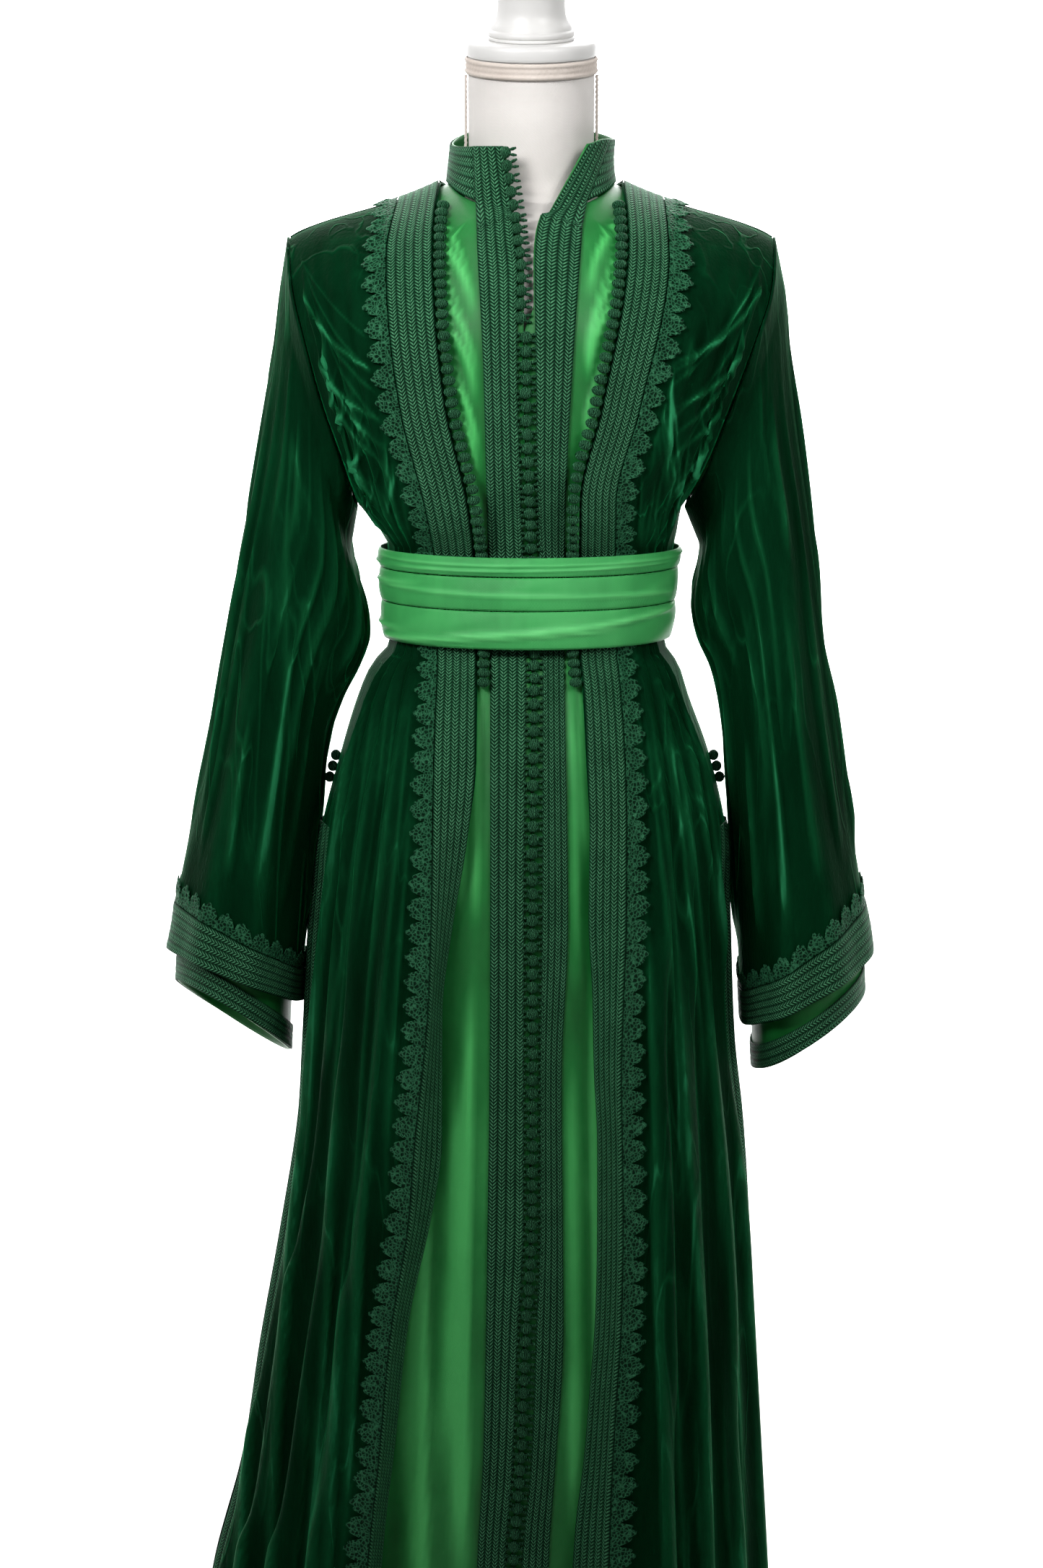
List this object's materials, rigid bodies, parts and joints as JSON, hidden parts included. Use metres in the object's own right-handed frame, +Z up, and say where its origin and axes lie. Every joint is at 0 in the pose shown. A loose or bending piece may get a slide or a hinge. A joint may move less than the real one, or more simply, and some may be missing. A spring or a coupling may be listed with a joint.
{
  "type": "moroccan kaftan on dress form",
  "caption": "Two-layer moroccan kaftan: open braided velvet caftan over a satin one with a stand collar and wound sash, hanging empty on a limbless dress form with a round foot.",
  "frame": {"origin": "on the floor, below the centre of the bounding box", "axes": "+Z up, -Y the garment's front, +X the wearer's left (the viewer's right)"},
  "size_m": [0.6148, 0.461, 1.6967],
  "materials": {
    "velvet": "crushed silk velvet, dark emerald, bright along its creases",
    "satin": "light emerald satin, soft sheen",
    "sash": "bright emerald satin, soft sheen",
    "braid": "flat plaited cord braid, matte dark emerald",
    "lace": "scalloped cord lace, matte dark emerald",
    "knots": "knotted silk cord, dark emerald",
    "form_cover": "fine white jersey stretched over a hard form",
    "gimp": "woven cream gimp",
    "turned_wood": "turned wood, white satin paint",
    "painted_steel": "white powder coat"
  },
  "bodies": {
    "root": {"outer_front_left": "velvet", "outer_front_right": "velvet", "outer_back": "velvet", "outer_sleeve_left": "velvet", "outer_sleeve_right": "velvet", "front_braid_left": "braid", "front_braid_right": "braid", "back_neck_braid": "braid", "front_lace_left": "lace", "front_lace_right": "lace", "front_knots_left": "knots", "front_knots_right": "knots", "slit_braid_front_left": "braid", "slit_braid_front_right": "braid", "slit_braid_back_left": "braid", "slit_braid_back_right": "braid", "slit_knots_left": "knots", "slit_knots_right": "knots", "cuff_braid_left": "braid", "cuff_braid_right": "braid", "cuff_lace_left": "lace", "cuff_lace_right": "lace", "inner_front_left": "satin", "inner_front_right": "satin", "inner_back": "satin", "inner_sleeve_left": "satin", "inner_sleeve_right": "satin", "inner_cuff_braid_left": "braid", "inner_cuff_braid_right": "braid", "collar": "satin", "collar_braid": "braid", "placket_braid_left": "braid", "placket_braid_right": "braid", "placket_knots": "knots", "sash_upper": "sash", "sash_middle": "sash", "sash_lower": "sash", "form_body": "form_cover", "neck_cap": "turned_wood", "finial": "turned_wood", "neck_gimp": "gimp", "neck_gimp_left": "gimp", "neck_gimp_right": "gimp", "form_pole": "painted_steel", "form_base": "painted_steel"}
  },
  "joints": []
}
